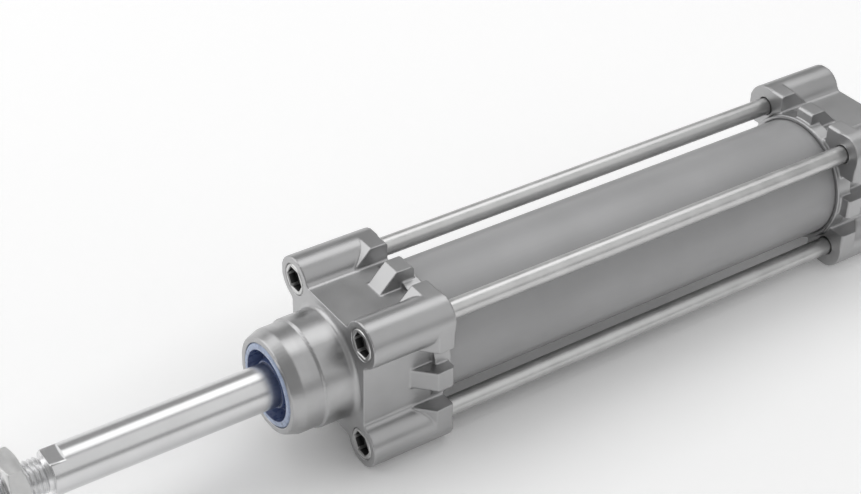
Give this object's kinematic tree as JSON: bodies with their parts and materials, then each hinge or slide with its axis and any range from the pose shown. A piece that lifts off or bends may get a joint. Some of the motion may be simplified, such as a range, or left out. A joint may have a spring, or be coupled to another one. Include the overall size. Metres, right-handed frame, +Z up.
{
  "type": "pneumatic cylinder",
  "caption": "Double-acting air cylinder with a round barrel held between two cast end caps by tie rods, cushioned piston, chromed rod with threaded end and lock nut, and blue rod wiper.",
  "frame": {"origin": "on the cylinder's axis, in the plane of the front cap's mounting face", "axes": "+X along the axis, the way the piston rod comes out; +Z up; -Y towards the ports and cushion screws"},
  "size_m": [0.29, 0.0454, 0.0454],
  "materials": {
    "cast_aluminium": "blasted and clear coated, satin",
    "drawn_aluminium": "anodised, satin",
    "turned_aluminium": "turned",
    "zinc_steel": "zinc plated",
    "chromed_steel": "ground and hard chromed",
    "sleeve_steel": "turned",
    "bearing_bronze": "sintered",
    "screw_brass": "turned",
    "blue_polyurethane": "moulded, satin",
    "seal_polyurethane": "moulded, satin",
    "black_rubber": "moulded, matt",
    "guide_plastic": "moulded",
    "bonded_magnet": "moulded"
  },
  "bodies": {
    "barrel": {"front_cap": "cast_aluminium", "rear_cap": "cast_aluminium", "barrel_tube": "drawn_aluminium", "tie_rods": "zinc_steel", "front_tie_rod_nuts": "zinc_steel", "rear_tie_rod_nuts": "zinc_steel", "front_barrel_o_ring": "black_rubber", "rear_barrel_o_ring": "black_rubber", "rod_bearing_bush": "bearing_bronze", "rod_wiper": "blue_polyurethane", "front_cushion_seal": "black_rubber", "rear_cushion_seal": "black_rubber"},
    "piston_rings": {"front_piston_seal": "seal_polyurethane", "rear_piston_seal": "seal_polyurethane", "piston_guide_ring": "guide_plastic"},
    "rod_assembly": {"piston_rod": "chromed_steel", "rod_lock_nut": "zinc_steel", "front_cushion_sleeve": "sleeve_steel", "rear_cushion_sleeve": "sleeve_steel", "front_piston_half": "turned_aluminium", "rear_piston_half": "turned_aluminium", "magnet_ring": "bonded_magnet", "front_bumper": "black_rubber", "rear_bumper": "black_rubber", "piston_o_ring": "black_rubber"},
    "front_needle": {"front_cushion_screw": "screw_brass", "front_screw_o_ring": "black_rubber"},
    "rear_needle": {"rear_cushion_screw": "screw_brass", "rear_screw_o_ring": "black_rubber"}
  },
  "joints": [
    {"name": "rod_slide", "type": "slide", "parent": "barrel", "child": "piston_rings", "axis": [1, 0, 0], "range_m": [-0.052, 0.048]},
    {"name": "rod_spin", "type": "hinge", "parent": "piston_rings", "child": "rod_assembly", "pos_m": [-0.093, 0, 0], "axis": [1, 0, 0], "continuous": true},
    {"name": "front_needle_turn", "type": "hinge", "parent": "barrel", "child": "front_needle", "pos_m": [-0.0182, 0, 0.007], "axis": [0, -1, 0], "range_deg": [-540, 540]},
    {"name": "rear_needle_turn", "type": "hinge", "parent": "barrel", "child": "rear_needle", "pos_m": [-0.1718, 0, 0.007], "axis": [0, -1, 0], "range_deg": [-540, 540]}
  ]
}
